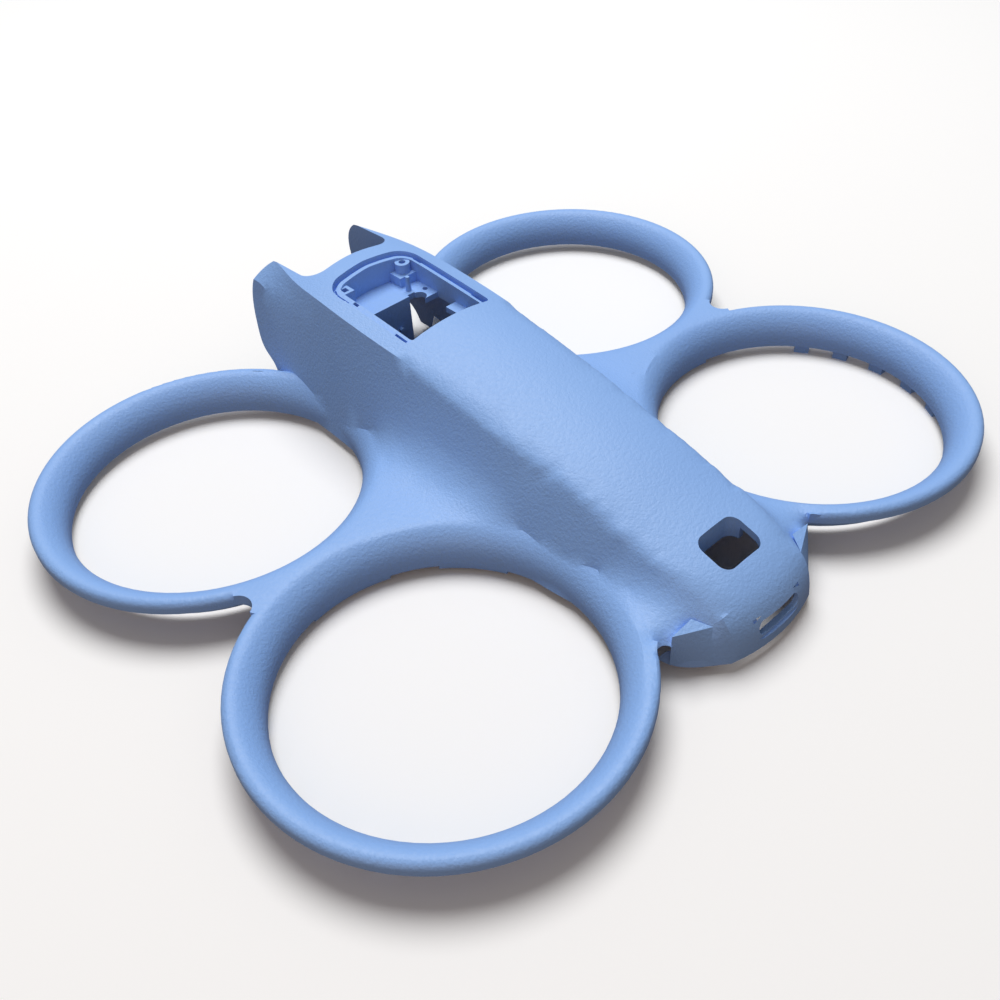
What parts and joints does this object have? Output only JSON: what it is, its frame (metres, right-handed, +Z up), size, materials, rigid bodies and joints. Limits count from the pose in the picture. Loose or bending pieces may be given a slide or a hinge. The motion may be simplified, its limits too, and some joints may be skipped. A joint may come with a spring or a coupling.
{
  "type": "drone upper shell",
  "caption": "Thin moulded upper shell of a small ducted drone: a long spine with a forked nose, a window and a button hole, between round duct rings.",
  "frame": {"origin": "middle of the four duct rings, at the level of the clip tips on the underside", "axes": "+X across the shell to its right, +Y from the tail to the fork, +Z up out of the deck"},
  "size_m": [0.158, 0.1294, 0.0284],
  "materials": {
    "shell_plastic": "light blue moulded plastic with a fine even grain"
  },
  "bodies": {
    "root": {"upper_shell": "shell_plastic"}
  },
  "joints": []
}
